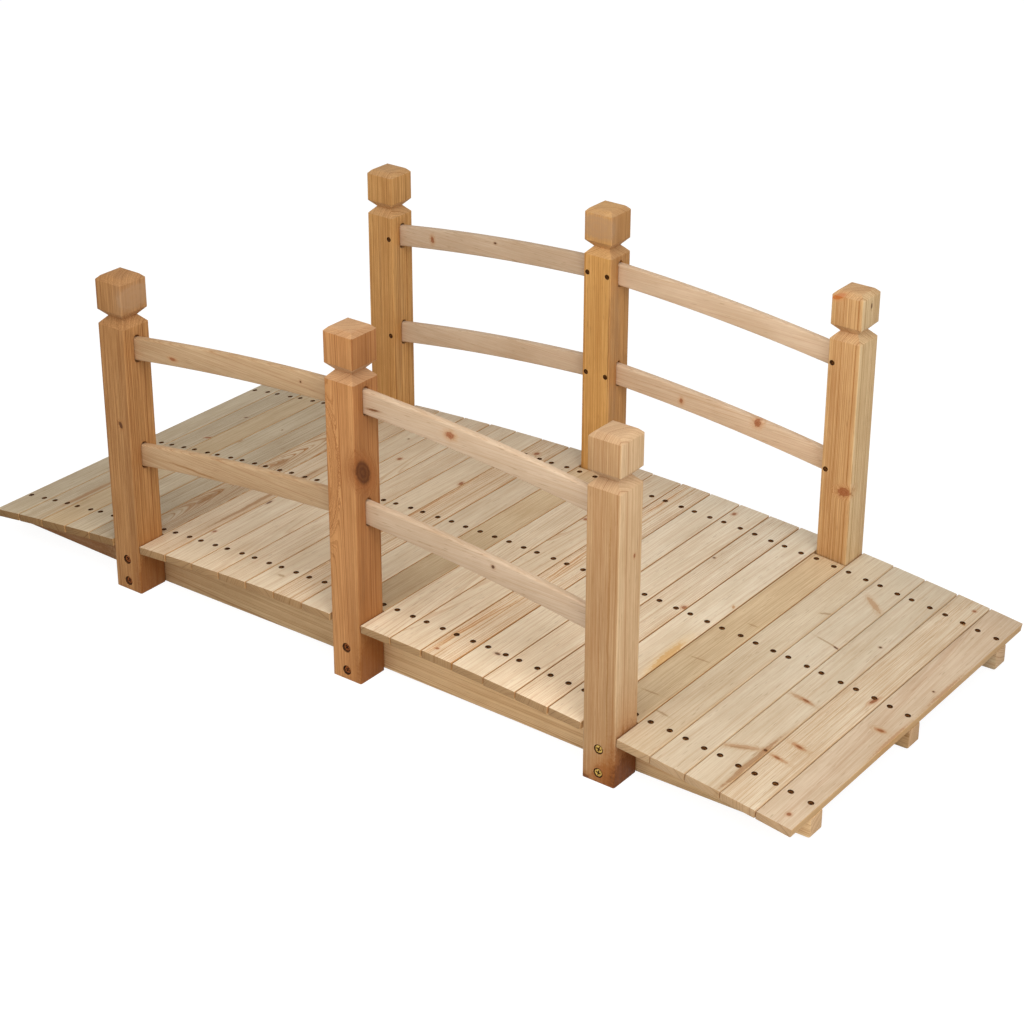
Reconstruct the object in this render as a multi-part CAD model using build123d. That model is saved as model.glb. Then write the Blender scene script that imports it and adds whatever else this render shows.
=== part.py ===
from build123d import *
import os

# A small arched garden footbridge of unfinished fir.
# X runs along the bridge, Y across it, Z up; the origin is on the ground under the middle.

# Main sizes
deck_length = 1500.0
deck_width = 670.0
post_spacing = 448.0

# Arch of the deck, measured at the top face of the planks
crown_height = 98.5
deck_end_height = 47.0

# Posts
post_section = 53.0
post_edge_round = 2.5
outer_post_height = 520.0
middle_post_height = 551.0
cap_bevel = 8.0
head_block_height = 46.0
neck_groove_depth = 11.5
neck_groove_half_height = 12.0

# Deck planks, as wide as their number and gaps allow; the short planks between two posts
# reach past the posts' left faces by the margin
planks_per_bay = 7
planks_per_end = 5
plank_thickness = 12.0
plank_gap = 1.5
plank_edge_round = 1.5
post_to_plank_gap = 1.0
short_plank_margin = 3.5

# Stringers, the curved boards that carry the planks
stringer_thickness = 30.0
stringer_belly_rise = 3.5
stringer_tip_lift = 5.0
stringer_corner_round = 4.0

# Side rails; the drops are from a post's top down to the rail's centre line at that post
rail_height = 36.0
rail_thickness = 12.0
rail_edge_chamfer = 1.8
rail_rise = 5.2
tenon_length = 14.0
upper_rail_outer_drop = 113.5
upper_rail_middle_drop = 108.5
lower_rail_outer_drop = 289.0
lower_rail_middle_drop = 280.5

# Mortises routed into the posts for the rail ends
mortise_side_clearance = 0.6
mortise_end_clearance = 4.5
mortise_depth_clearance = 1.0

# Places worked out from the sizes above
half_length = deck_length / 2
bay_clear = post_spacing - post_section
end_reach = half_length - post_spacing - post_section / 2
bay_plank_pitch = (bay_clear - post_to_plank_gap - short_plank_margin) / planks_per_bay
left_plank_pitch = (end_reach - short_plank_margin) / planks_per_end
right_plank_pitch = (end_reach - post_to_plank_gap + plank_gap) / planks_per_end
post_y = (deck_width - post_section) / 2
inner_width = deck_width - 2 * post_section
arch_rise = crown_height - deck_end_height
arch_radius = (half_length**2 + arch_rise**2) / (2 * arch_rise)
arch_centre_z = crown_height - arch_radius
seat_radius = arch_radius - plank_thickness
upper_rail_heights = (
    outer_post_height - upper_rail_outer_drop,
    middle_post_height - upper_rail_middle_drop,
)
lower_rail_heights = (
    outer_post_height - lower_rail_outer_drop,
    middle_post_height - lower_rail_middle_drop,
)


def arch_point(radius, x):
    """Point of the arch with this radius above the place x."""
    return (x, arch_centre_z + (radius**2 - x**2) ** 0.5)


def post_profile(height):
    """Side view of a post: foot, shaft, grooved neck, head block and bevelled cap."""
    half = post_section / 2
    cap_edge = height - cap_bevel
    head_bottom = cap_edge - head_block_height
    neck = head_bottom - neck_groove_half_height
    shoulder = neck - neck_groove_half_height
    right = [
        (half, 0),
        (half, shoulder),
        (half - neck_groove_depth, neck),
        (half, head_bottom),
        (half, cap_edge),
        (half - cap_bevel, height),
    ]
    left = [(-x, z) for x, z in reversed(right)]
    return make_face(Polyline(*right, *left, close=True))


def rail_centre(x, heights):
    """Height of a rail's bowed centre line at the place x, set by its heights at the posts."""
    outer_height, middle_height = heights
    share = (abs(x) - post_section / 2) / bay_clear
    bow = 4 * rail_rise * share * (1 - share)
    return middle_height + share * (outer_height - middle_height) + bow


def mortise(face_x, direction, heights):
    """Cutter for one routed slot with round ends, open at the post face."""
    depth = tenon_length + mortise_depth_clearance
    slot_width = rail_thickness + 2 * mortise_side_clearance
    slot_height = rail_height + 2 * mortise_end_clearance
    middle_x = face_x - direction * depth / 2
    z = rail_centre(middle_x, heights)
    plane = Plane(origin=(middle_x, 0, z), x_dir=(0, 0, 1), z_dir=(1, 0, 0))
    return extrude(plane * SlotOverall(slot_height, slot_width), amount=depth / 2, both=True)


def make_post(place, height):
    """One post at its place along the bridge, with its mortises, centred on Y zero."""
    profile = post_profile(height)
    reach = post_section
    along_y = extrude(Plane.XZ * profile, amount=reach, both=True)
    along_x = extrude(Plane.YZ * profile, amount=reach, both=True)
    blank = extrude(RectangleRounded(post_section, post_section, post_edge_round), amount=height)
    post = Pos(place, 0, 0) * (blank & along_y & along_x)
    faces = []
    if place > -post_spacing:
        faces.append((place - post_section / 2, -1))
    if place < post_spacing:
        faces.append((place + post_section / 2, 1))
    for face_x, direction in faces:
        post -= mortise(face_x, direction, upper_rail_heights)
        post -= mortise(face_x, direction, lower_rail_heights)
    return post


def make_rail(side, heights):
    """One arched rail between the middle post and an outer post, centred on Y zero."""
    start_x = side * (post_section / 2 - tenon_length)
    end_x = side * (post_spacing - post_section / 2 + tenon_length)
    mid_x = (start_x + end_x) / 2
    start_z = rail_centre(start_x, heights)
    mid_z = rail_centre(mid_x, heights)
    end_z = rail_centre(end_x, heights)
    half = rail_height / 2
    top = ThreePointArc((start_x, start_z + half), (mid_x, mid_z + half), (end_x, end_z + half))
    bottom = ThreePointArc((end_x, end_z - half), (mid_x, mid_z - half), (start_x, start_z - half))
    tip = Line(top @ 1, bottom @ 0)
    heel = Line(bottom @ 1, top @ 0)
    outline = make_face(Curve() + [top, tip, bottom, heel])
    rail = extrude(Plane.XZ * outline, amount=rail_thickness / 2, both=True)
    long_edges = rail.edges().filter_by(GeomType.CIRCLE)
    return chamfer(long_edges, rail_edge_chamfer)


def make_stringer():
    """One curved board under the planks, centred on Y zero."""
    belly_x = post_spacing
    left_top = arch_point(seat_radius, -half_length)
    right_top = arch_point(seat_radius, half_length)
    crown = arch_point(seat_radius, 0)
    top = ThreePointArc(left_top, crown, right_top)
    right_end = Line(right_top, (half_length, stringer_tip_lift))
    right_foot = Line(right_end @ 1, (belly_x, 0))
    belly = ThreePointArc((belly_x, 0), (0, stringer_belly_rise), (-belly_x, 0))
    left_foot = Line(belly @ 1, (-half_length, stringer_tip_lift))
    left_end = Line(left_foot @ 1, left_top)
    outline = make_face(Curve() + [top, right_end, right_foot, belly, left_foot, left_end])
    board = extrude(Plane.XZ * outline, amount=stringer_thickness / 2, both=True)
    tips = board.edges().filter_by(Axis.Y).group_by(Axis.X)
    lower = [tips[0].sort_by(Axis.Z)[0], tips[-1].sort_by(Axis.Z)[0]]
    return fillet(lower, stringer_corner_round)


def make_plank(place, width, length):
    """One flat plank resting on the arch at the place along it."""
    board = Box(width, length, plank_thickness, align=(Align.CENTER, Align.CENTER, Align.MIN))
    top_edges = board.faces().sort_by(Axis.Z)[-1].edges().filter_by(Axis.Y)
    board = fillet(top_edges, plank_edge_round)
    core_radius = seat_radius + plank_thickness / 2
    seat_x, seat_z = arch_point(seat_radius, place * seat_radius / core_radius)
    plane = Plane(
        origin=(seat_x, 0, seat_z),
        x_dir=(seat_z - arch_centre_z, 0, -seat_x),
        z_dir=(seat_x, 0, seat_z - arch_centre_z),
    )
    return plane * board


def plank_layout():
    """Place, width and length of every plank, from the left end to the right end."""
    half_post = post_section / 2
    short_length = inner_width - 2 * post_to_plank_gap
    runs = [
        (-half_length, left_plank_pitch, planks_per_end),
        (-post_spacing + half_post + post_to_plank_gap, bay_plank_pitch, planks_per_bay),
        (half_post + post_to_plank_gap, bay_plank_pitch, planks_per_bay),
        (post_spacing + half_post + post_to_plank_gap, right_plank_pitch, planks_per_end),
    ]
    layout = []
    for start, pitch, count in runs:
        width = pitch - plank_gap
        for number in range(count):
            layout.append((start + number * pitch + width / 2, width, deck_width))
    for post_place in (-post_spacing, 0.0, post_spacing):
        short_width = post_section + short_plank_margin
        layout.append((post_place - short_plank_margin / 2, short_width, short_length))
    return sorted(layout)


def write(shape, name):
    """Write one piece to its own file."""
    export_step(shape, f"parts/{name}.step")


os.makedirs("parts", exist_ok=True)

sides = {"front": -1, "back": 1}
post_kinds = {
    "left": (-post_spacing, outer_post_height),
    "middle": (0.0, middle_post_height),
    "right": (post_spacing, outer_post_height),
}
rail_rows = {"upper": upper_rail_heights, "lower": lower_rail_heights}
for side_name, side in sides.items():
    for kind, (place, height) in post_kinds.items():
        write(Pos(0, side * post_y, 0) * make_post(place, height), f"post_{side_name}_{kind}")
    for bay, direction in (("left", -1), ("right", 1)):
        for row, heights in rail_rows.items():
            rail = Pos(0, side * post_y, 0) * make_rail(direction, heights)
            write(rail, f"rail_{side_name}_{bay}_{row}")

stringer_y = (inner_width - stringer_thickness) / 2
for name, y in (("front", -stringer_y), ("middle", 0.0), ("back", stringer_y)):
    write(Pos(0, y, 0) * make_stringer(), f"stringer_{name}")

for number, (place, width, length) in enumerate(plank_layout(), start=1):
    write(make_plank(place, width, length), f"plank_{number:02d}")
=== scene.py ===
"""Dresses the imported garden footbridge: bored and eased fir boards, screws, studio and camera."""

import logging
import math
import random
from collections.abc import Callable, Iterable, Iterator
from contextlib import contextmanager
from dataclasses import dataclass, field
from enum import Enum
from functools import cached_property

import bmesh
import bpy
from mathutils import Matrix, Vector


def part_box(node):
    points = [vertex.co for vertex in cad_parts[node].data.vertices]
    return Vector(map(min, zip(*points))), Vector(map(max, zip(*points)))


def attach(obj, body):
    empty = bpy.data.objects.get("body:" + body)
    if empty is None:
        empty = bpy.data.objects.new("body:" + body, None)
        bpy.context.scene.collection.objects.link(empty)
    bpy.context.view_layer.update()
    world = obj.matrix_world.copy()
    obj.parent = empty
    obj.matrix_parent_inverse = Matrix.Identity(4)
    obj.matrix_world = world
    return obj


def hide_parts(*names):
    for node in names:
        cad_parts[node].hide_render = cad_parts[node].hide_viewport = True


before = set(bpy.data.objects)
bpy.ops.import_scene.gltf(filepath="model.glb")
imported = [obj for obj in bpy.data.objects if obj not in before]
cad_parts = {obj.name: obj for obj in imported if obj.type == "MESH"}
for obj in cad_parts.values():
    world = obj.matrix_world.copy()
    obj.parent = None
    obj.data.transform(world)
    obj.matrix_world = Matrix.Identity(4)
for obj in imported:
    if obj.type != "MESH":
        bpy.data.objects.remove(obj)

log = logging.getLogger("footbridge")

MM = 0.001
ROOT = "root"
MERGE_GAP = 0.00001
FLAT_ANGLE = math.radians(0.5)
SMOOTH_ANGLE = math.radians(35)
ALONG_BRIDGE = (1.0, 0.0, 0.0)
UPWARD = 0.9
SQUARE = 0.99

Colour = tuple[float, float, float, float]
Pair = tuple[float, float]
Triple = tuple[float, float, float]
Material = bpy.types.Material
Object = bpy.types.Object
Socket = bpy.types.NodeSocket
Sockets = bpy.types.bpy_prop_collection
Fills = dict[str | int, object]


def shade(*screen: int) -> Colour:
    """Turns red, green and blue screen values from 0 to 255 into a linear colour by the usual curve."""
    levels = (value / 255 for value in screen)
    return (*(v / 12.92 if v <= 0.04045 else ((v + 0.055) / 1.055) ** 2.4 for v in levels), 1.0)


def dimmed(colour: Colour, level: float) -> Colour:
    """A linear colour made darker or lighter by a level."""
    return (*(part * level for part in colour[:3]), 1.0)


class Slot(Enum):
    """Material slot names for the pieces."""

    POST = "post_wood"
    RAIL = "rail_wood"
    STRINGER = "stringer_wood"
    DECK = "deck_wood"
    ZINC = "yellow_zinc"
    DARK = "dark_screw"


class Run(Enum):
    """The way a board's fibres run, in the order of the axes, as the turn to a pattern's third axis."""

    ALONG = (0.0, -math.pi / 2, 0.0)
    ACROSS = (math.pi / 2, 0.0, 0.0)
    UPRIGHT = (0.0, 0.0, 0.0)


# --------------------------------------------------------------------------- finishes


class Wiring:
    """A node tree that is being wired, with short calls for the nodes the finishes share."""

    def __init__(self, tree: bpy.types.NodeTree) -> None:
        """Takes hold of a node tree."""
        self.tree = tree

    @classmethod
    def emptied(cls, owner: Material | bpy.types.World) -> "Wiring":
        """Takes hold of a new material's or world's tree, with nothing in it.

        Args:
            owner: The material or world.

        Returns:
            The wiring of its tree.
        """
        owner.use_nodes = True
        owner.node_tree.nodes.clear()
        return cls(owner.node_tree)

    def add(self, kind: str, fills: Fills | None = None, **settings: object) -> bpy.types.Node:
        """Adds a node.

        Args:
            kind: The node's type name.
            fills: Plain values or outputs for its inputs, by name or number.
            settings: Properties to set on it first.

        Returns:
            The new node.
        """
        node = self.tree.nodes.new(kind)
        for key, value in settings.items():
            setattr(node, key, value)
        for key, value in (fills or {}).items():
            self.feed(node.inputs[key], value)
        return node

    def feed(self, socket: Socket, value: object) -> None:
        """Links a socket to an output, or sets its value.

        Args:
            socket: The input to fill.
            value: An output socket or a plain value.
        """
        if isinstance(value, Socket):
            self.tree.links.new(value, socket)
        else:
            socket.default_value = value

    def math(self, operation: str, *values: object) -> Socket:
        """Adds a Math node with up to three inputs and returns its result."""
        return self.add("ShaderNodeMath", dict(enumerate(values)), operation=operation).outputs[0]

    def plus(self, first: object, second: object) -> Socket:
        """Adds two values."""
        return self.math("ADD", first, second)

    def times(self, first: object, second: object) -> Socket:
        """Multiplies two values."""
        return self.math("MULTIPLY", first, second)

    def vector(self, operation: str, *values: object) -> Socket:
        """Adds a Vector Math node and returns its vector, or its length or dot product."""
        node = self.add("ShaderNodeVectorMath", dict(enumerate(values)), operation=operation)
        return node.outputs["Value" if operation in ("LENGTH", "DOT_PRODUCT") else "Vector"]

    def drawn(self, place: Socket, squeeze: float) -> Socket:
        """Draws a pattern out along its third axis by squeezing the place it is read at."""
        return self.vector("MULTIPLY", place, (1.0, 1.0, squeeze))

    def split(self, vector: Socket) -> Sockets:
        """Splits a vector into its X, Y and Z."""
        return self.add("ShaderNodeSeparateXYZ", {0: vector}).outputs

    def squareness(self, way: object) -> Socket:
        """Tells how squarely the true surface looks along a way, from either side."""
        normal = self.add("ShaderNodeNewGeometry").outputs["True Normal"]
        return self.math("ABSOLUTE", self.vector("DOT_PRODUCT", normal, way))

    def step(self, value: object, low: float, high: float, before: float = 0.0, after: float = 1.0) -> Socket:
        """Maps a value through a smooth step from low to high, to the results before and after it."""
        fills = dict(enumerate((value, low, high, before, after)))
        return self.add("ShaderNodeMapRange", fills, interpolation_type="SMOOTHSTEP").outputs[0]

    def noise(self, vector: object, scale: float, detail: float = 2.0, roughness: float = 0.5) -> Socket:
        """Adds a noise with a scale, octaves and the weight of the finer ones, and returns its factor."""
        fills = {"Vector": vector, "Scale": scale, "Detail": detail, "Roughness": roughness}
        return self.add("ShaderNodeTexNoise", fills).outputs["Fac"]

    def mix(self, factor: object, first: object, second: object, blend: str = "MIX") -> Socket:
        """Mixes two colours by the share of the second one."""
        fills = {"Factor": factor, 6: first, 7: second}
        return self.add("ShaderNodeMix", fills, data_type="RGBA", blend_type=blend).outputs[2]

    def place(self, group: bpy.types.NodeTree, **values: object) -> Sockets:
        """Places a node group, filled by input names with _ for spaces, and returns its outputs."""
        fills = {key.replace("_", " "): value for key, value in values.items()}
        return self.add("ShaderNodeGroup", fills, node_tree=group).outputs

    def bump(self, height: Socket, strength: float, distance: float) -> Socket:
        """Turns a height into a bumped normal, with the bump's distance in metres."""
        fills = {"Strength": strength, "Distance": distance, "Height": height}
        return self.add("ShaderNodeBump", fills).outputs[0]

    def finish(self, kind: str, fills: Fills, out: str = "ShaderNodeOutputMaterial") -> None:
        """Adds the last shader and its output."""
        shader = self.add(kind, fills)
        self.add(out, {"Surface": shader.outputs[0]})


class PatternShelf:
    """The shared node groups, each built the first time that it is asked for."""

    @staticmethod
    def start(
        name: str, vectors: Iterable[str], floats: Iterable[str], gives: Iterable[str]
    ) -> tuple[Wiring, Sockets, Sockets]:
        """Begins a group with its sockets.

        Args:
            name: The group's name.
            vectors: Names of the Vector inputs.
            floats: Names of the Float inputs.
            gives: Names of the Float outputs.

        Returns:
            The wiring, what the group takes and what it gives.
        """
        tree = bpy.data.node_groups.new(name, "ShaderNodeTree")
        rows = (("INPUT", "Vector", vectors), ("INPUT", "Float", floats), ("OUTPUT", "Float", gives))
        for way, kind, names in rows:
            for socket in names:
                tree.interface.new_socket(name=socket, in_out=way, socket_type=f"NodeSocket{kind}")
        w = Wiring(tree)
        return w, w.add("NodeGroupInput").outputs, w.add("NodeGroupOutput").inputs

    @cached_property
    def rings(self) -> bpy.types.NodeTree:
        """Growth rings about a pith line, read in millimetres with the fibres along the third axis.

        Returns:
            The group, which gives the dark late wood and the soft rise towards it as masks.
        """
        vectors, floats = ("Place", "Pith", "Lean", "Seed"), ("Ring Width", "Wander", "Swell")
        w, given, out = self.start("growth_rings", vectors, floats, ("Late", "Soft"))
        parts = w.split(given["Place"])
        lean = w.add("ShaderNodeVectorMath", {0: given["Lean"], "Scale": parts["Z"]}, operation="SCALE")
        flat = w.add("ShaderNodeCombineXYZ", {"X": parts["X"], "Y": parts["Y"]})
        spot = w.vector("SUBTRACT", flat.outputs[0], given["Pith"])
        spot = w.vector("SUBTRACT", spot, lean.outputs[0])
        wobble = w.noise(w.vector("ADD", w.drawn(given["Place"], 0.12), given["Seed"]), 0.035, 1.5)
        drift = w.times(w.math("SUBTRACT", wobble, 0.5), given["Wander"])
        radius = w.plus(w.plus(w.vector("LENGTH", spot), drift), given["Swell"])
        even = w.math("DIVIDE", radius, given["Ring Width"])
        uneven = w.add("ShaderNodeTexNoise", {"W": w.times(even, 0.41), "Detail": 1.0}, noise_dimensions="1D")
        count = w.plus(even, w.times(uneven.outputs["Fac"], 2.6))
        share = w.math("FRACT", count)
        rise = w.step(share, 0.36, 0.88)
        late = w.times(w.math("POWER", rise, 2.0), w.step(share, 0.9, 1.0, 1.0, 0.0))
        ring = w.add("ShaderNodeTexWhiteNoise", {"W": w.math("FLOOR", count)}, noise_dimensions="1D")
        w.feed(out["Late"], w.times(late, w.math("MULTIPLY_ADD", ring.outputs["Value"], 0.7, 0.3)))
        w.feed(out["Soft"], rise)
        return w.tree

    @cached_property
    def fibre(self) -> bpy.types.NodeTree:
        """Fine fibres and short dark flecks drawn out along the third axis.

        Returns:
            The group, which gives fibres, flecks and broad uneven patches as masks.
        """
        w, given, out = self.start("wood_fibre", ("Place", "Seed"), (), ("Fibre", "Fleck", "Patch"))
        spot = w.vector("ADD", given["Place"], given["Seed"])
        w.feed(out["Fibre"], w.step(w.noise(w.drawn(spot, 0.02), 0.55, 4.0, 0.75), 0.4, 0.62))
        w.feed(out["Fleck"], w.step(w.noise(w.drawn(spot, 0.08), 0.5, 1.0), 0.66, 0.76))
        w.feed(out["Patch"], w.step(w.noise(w.drawn(spot, 0.3), 0.028, 4.0, 0.6), 0.32, 0.68))
        return w.tree

    @cached_property
    def mark(self) -> bpy.types.NodeTree:
        """One knot, streak, stain or patch of painted shade: a ragged ellipsoid at a spot of the board.

        Returns:
            The group, which gives its core, its halo, its inner rings and how far it pushes the growth rings.
        """
        vectors, floats = ("Place", "Centre", "Turn", "Reach"), ("Ragged", "Push", "Bend")
        w, given, out = self.start("board_mark", vectors, floats, ("Core", "Halo", "Figure", "Swell"))
        drift = w.noise(w.vector("MULTIPLY", given["Place"], (0.0, 0.0, 1.0)), 0.016, 2.0)
        drift = w.times(w.math("SUBTRACT", drift, 0.5), given["Bend"])
        bent = w.vector("ADD", given["Place"], w.add("ShaderNodeCombineXYZ", {"X": drift}).outputs[0])
        fills = {"Vector": w.vector("SUBTRACT", bent, given["Centre"]), "Rotation": given["Turn"]}
        turned = w.add("ShaderNodeVectorRotate", fills, rotation_type="EULER_XYZ").outputs[0]
        even = w.vector("LENGTH", w.vector("DIVIDE", turned, given["Reach"]))
        rough = w.math("SUBTRACT", w.noise(given["Place"], 0.22, 3.0, 0.6), 0.5)
        far = w.plus(even, w.times(rough, given["Ragged"]))
        halo = w.step(far, 0.7, 2.3, 1.0, 0.0)
        w.feed(out["Core"], w.step(far, 0.65, 1.15, 1.0, 0.0))
        w.feed(out["Halo"], halo)
        w.feed(out["Figure"], w.math("MULTIPLY_ADD", w.math("SINE", w.times(far, 15.0)), 0.5, 0.5))
        w.feed(out["Swell"], w.times(w.times(halo, halo), given["Push"]))
        return w.tree

    @cached_property
    def cut_end(self) -> bpy.types.NodeTree:
        """Tells sawn ends from long faces by the way that the surface looks.

        Returns:
            The group, which gives the mask of sawn ends.
        """
        w, given, out = self.start("sawn_end", ("Fibres",), (), ("End",))
        w.feed(out["End"], w.step(w.squareness(given["Fibres"]), 0.25, 0.95))
        return w.tree


SHELF = PatternShelf()
# Reach and tint of the painted shade that darkens crevices.
CREVICE_REACH = 0.0035
CREVICE_SHADE_TINT = shade(216, 166, 112)
# Tint of the painted seam shade on the planks' long sides.
FLANK_SHADE_TINT = shade(212, 164, 100)
FLECK_TINT = shade(150, 104, 62)
PATCH_LEVELS = ((0.93, 0.905, 0.87, 1.0), (1.05, 1.055, 1.06, 1.0))
# How far the painted sheen raises red, green and blue.
SHEEN_SHARES = (0.0, 0.45, 1.0)


class Tone(Enum):
    """Early wood and late wood colours of the boards."""

    CREAM = (shade(228, 210, 182), shade(182, 128, 72))
    PALE = (shade(223, 203, 172), shade(174, 118, 62))
    STRAW = (shade(224, 200, 163), shade(164, 102, 48))
    TAN = (shade(213, 189, 152), shade(154, 104, 58))
    ROSY = (shade(220, 198, 170), shade(176, 122, 80))
    GREY = (shade(211, 194, 165), shade(142, 104, 66))
    HONEY = (shade(203, 151, 96), shade(134, 80, 38))
    RUSSET = (shade(216, 158, 101), shade(154, 88, 40))
    BRICK = (shade(186, 130, 80), shade(134, 78, 38))
    BLOND = (shade(201, 163, 119), shade(160, 104, 56))
    SHELL = (shade(222, 191, 151), shade(184, 134, 88))
    OCHRE = (shade(218, 168, 106), shade(152, 96, 44))
    GOLD = (shade(223, 173, 105), shade(176, 114, 52))
    BRONZE = (shade(202, 153, 98), shade(156, 102, 54))
    MAIZE = (shade(226, 184, 130), shade(172, 108, 52))
    IVORY = (shade(240, 212, 166), shade(190, 142, 88))
    BLUSH = (shade(223, 197, 168), shade(190, 146, 106))
    WHEAT = (shade(212, 175, 128), shade(150, 98, 50))
    SAND = (shade(235, 202, 155), shade(172, 114, 60))
    FAWN = (shade(211, 179, 140), shade(174, 124, 80))


class Kind(Enum):
    """What a mark is: core and halo colours, their shares, raggedness, push on the rings and bend."""

    KNOT = (shade(142, 80, 42), shade(184, 120, 72), 0.86, 0.5, 0.6, 7.0, 0.0)
    PIN = (shade(84, 46, 21), shade(168, 108, 58), 0.94, 0.4, 0.4, 3.0, 0.0)
    FLAME = (shade(184, 134, 90), shade(198, 158, 116), 0.6, 0.4, 1.3, 4.0, 0.0)
    CRACK = (shade(154, 112, 70), shade(194, 162, 122), 0.5, 0.3, 1.6, 0.0, 0.0)
    RESIN = (shade(176, 114, 58), shade(212, 164, 108), 0.72, 0.32, 0.9, 0.0, 8.0)
    STREAK = (shade(160, 108, 58), shade(184, 140, 92), 0.65, 0.35, 0.6, 0.0, 8.0)
    # The stain and soak kinds serve real stains and damp wood, and also painted shade under the deck.
    STAIN_AND_SHADE = (shade(112, 60, 20), shade(156, 92, 40), 0.8, 0.6, 1.0, 0.0, 0.0)
    SOAK_AND_SHADE = (shade(150, 88, 38), shade(176, 116, 60), 0.62, 0.45, 0.8, 0.0, 0.0)
    BURL = (shade(98, 55, 27), shade(152, 86, 40), 0.97, 0.6, 0.35, 15.0, 0.0)
    ROSE = (shade(158, 86, 48), shade(204, 146, 94), 0.84, 0.5, 1.1, 6.0, 0.0)
    SWIRL = (shade(190, 124, 66), shade(190, 124, 66), 0.0, 0.0, 0.2, 16.0, 0.0)
    AMBER = (shade(202, 148, 76), shade(218, 180, 120), 0.62, 0.5, 1.4, 0.0, 0.0)
    RUST = (shade(198, 106, 44), shade(214, 150, 92), 0.85, 0.5, 0.9, 0.0, 0.0)
    CHALK = (shade(188, 148, 110), shade(188, 148, 110), 0.75, 0.3, 0.6, 0.0, 0.0)


@dataclass(frozen=True)
class Mark:
    """A knot, streak or stain on a board, or a patch of painted shade.

    Place and reach are in millimetres from the board's middle: across it, into its depth, along it.
    The turn, in degrees, is about the axis that comes out of the marked face.
    """

    kind: Kind
    place: Triple
    reach: Triple
    turn: float = 0.0
    side_on: bool = False

    def spot(self, w: Wiring, place: Socket) -> Sockets:
        """Sets the mark into a material.

        Args:
            w: The material's wiring.
            place: The place on the board.

        Returns:
            The masks of the mark.
        """
        *_, ragged, push, bend = self.kind.value
        angle = math.radians(self.turn)
        turn = (angle, 0.0, 0.0) if self.side_on else (0.0, angle, 0.0)
        where = {"Place": place, "Centre": self.place, "Turn": turn, "Reach": self.reach}
        return w.place(SHELF.mark, **where, Ragged=ragged, Push=push, Bend=bend)

    def paint(self, w: Wiring, spot: Sockets, colour: Socket) -> Socket:
        """Paints the mark's halo and then its ringed core.

        Args:
            w: The material's wiring.
            spot: The masks of the mark.
            colour: The colour so far.

        Returns:
            The colour with the mark.
        """
        core, halo, core_share, halo_share, *_ = self.kind.value
        colour = w.mix(w.times(spot["Halo"], halo_share), colour, halo)
        inner = w.math("MULTIPLY_ADD", spot["Figure"], -0.25, 1.05)
        return w.mix(w.times(inner, w.times(spot["Core"], core_share)), colour, core)


@dataclass(frozen=True)
class Figure:
    """How a board was sawn: where its pith lies, how it leans, and how strong its rings are."""

    pith: Pair
    lean: Pair = (0.0, 0.0)
    ring_width: float = 3.2
    wander: float = 2.0
    strength: float = 0.3
    fibre: float = 0.36


class Sawing(Enum):
    """Usual ways that a board's rings show."""

    QUIET = Figure((-46.0, 70.0), (0.006, 0.012), 4.6, 3.0, 0.3, 0.2)
    PLAIN = Figure((30.0, 52.0), (-0.008, 0.02), 4.6, 3.0, 0.5, 0.24)
    LINES = Figure((66.0, 24.0), (0.006, 0.008), 4.4, 1.5, 0.7, 0.28)
    STRIPED = Figure((85.0, 12.0), (0.004, 0.006), 4.8, 1.4, 1.3)
    PEAKED = Figure((-2.0, 40.0), (0.015, 0.05), 3.6, 5.0, 0.95, 0.3)


@dataclass(frozen=True)
class Look:
    """How one board's wood looks.

    The fade paints light and shade along the board: the brightness at the start and at the end of the board
    and how many millimetres from its middle each is reached. Bleach paints a sheen that pales the end. The
    end share says how far the sawn colours cover the cut ends, flank how far a plank's long sides are tinted
    with painted seam shade and grime how far crevices are darkened with painted shade. The side tone colours
    the faces that look along the bridge, partly as the wood's own tone and partly as painted light and shade.
    """

    tone: Tone
    figure: Figure
    marks: tuple[Mark, ...] = ()
    brightness: float = 1.0
    side_tone_and_light: Tone | None = None
    end_share: float = 0.7
    fade: Triple = (1.0, 1.0, 300.0)
    painted_sheen: float = 0.0
    flank_shade: float = 0.75
    crevice_shade: float = 0.6
    sawn: tuple[Colour, Colour] = (shade(206, 172, 136), shade(150, 100, 58))


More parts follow.
